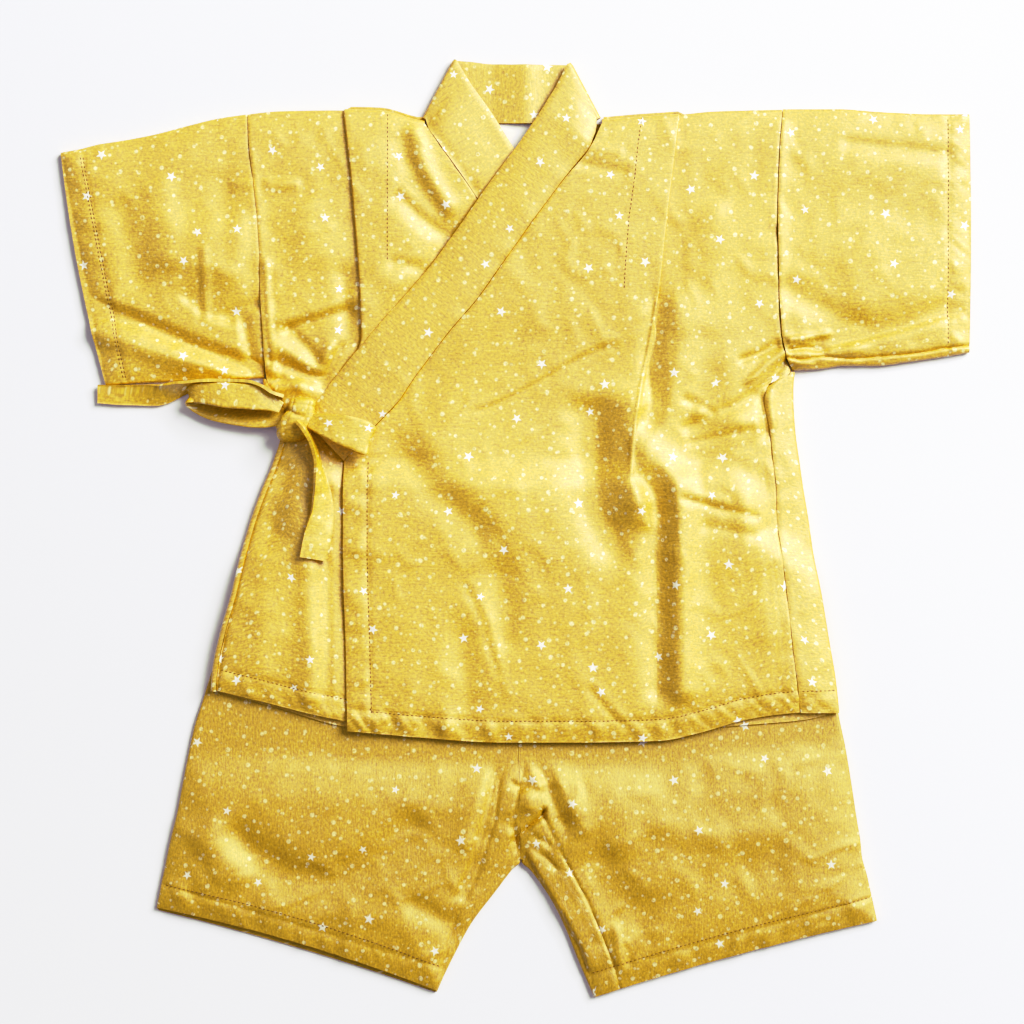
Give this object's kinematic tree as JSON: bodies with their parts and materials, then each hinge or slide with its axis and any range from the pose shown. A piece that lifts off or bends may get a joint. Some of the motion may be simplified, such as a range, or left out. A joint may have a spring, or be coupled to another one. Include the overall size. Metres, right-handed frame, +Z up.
{
  "type": "jinbei set",
  "caption": "Child's wrap top with wide short sleeves and a side bow, laid flat over the waist of matching loose shorts.",
  "frame": {"origin": "on the surface the set lies on, under the middle of its overall length and width", "axes": "+X towards the wearer's left, +Y from the shorts' hems to the collar, +Z up from the surface"},
  "size_m": [0.5451, 0.5617, 0.025],
  "materials": {
    "cotton_jacket": "mustard slub cotton with a printed dot and star repeat",
    "cotton_shorts": "mustard slub cotton with a printed dot and star repeat",
    "cotton_ties": "mustard slub cotton, sewn into narrow ties",
    "label_tape": "plain white woven tape"
  },
  "bodies": {
    "root": {"jacket_back": "cotton_jacket", "jacket_front_left": "cotton_jacket", "jacket_front_right": "cotton_jacket", "sleeve_right": "cotton_jacket", "sleeve_left": "cotton_jacket", "collar_band": "cotton_jacket", "neck_label": "label_tape", "shorts_leg_right": "cotton_shorts", "shorts_leg_left": "cotton_shorts", "shorts_waistband": "cotton_shorts", "tie_long_end": "cotton_ties", "tie_loop_left": "cotton_ties", "tie_loop_right": "cotton_ties", "tie_short_end": "cotton_ties", "tie_knot": "cotton_ties"}
  },
  "joints": []
}
